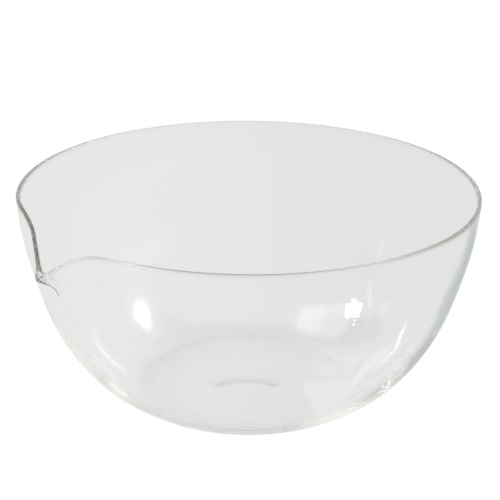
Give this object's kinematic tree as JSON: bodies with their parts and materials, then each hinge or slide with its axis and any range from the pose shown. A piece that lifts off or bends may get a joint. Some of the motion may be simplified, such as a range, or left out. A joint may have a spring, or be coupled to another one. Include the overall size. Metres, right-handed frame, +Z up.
{
  "type": "mixing bowl",
  "caption": "Clear glass mixing bowl: round deep body on a small flat base, rounded rim, and a pinched V-shaped pouring spout.",
  "frame": {"origin": "centre of the flat resting face, on the axis of the bowl", "axes": "+Z up along the bowl's axis, towards the mouth; -Y towards the pouring spout; +X completes the right-handed frame"},
  "size_m": [0.2398, 0.2439, 0.113],
  "materials": {
    "clear_glass": "clear, fire-polished, very slight green tint"
  },
  "bodies": {
    "root": {"glass_bowl": "clear_glass"}
  },
  "joints": []
}
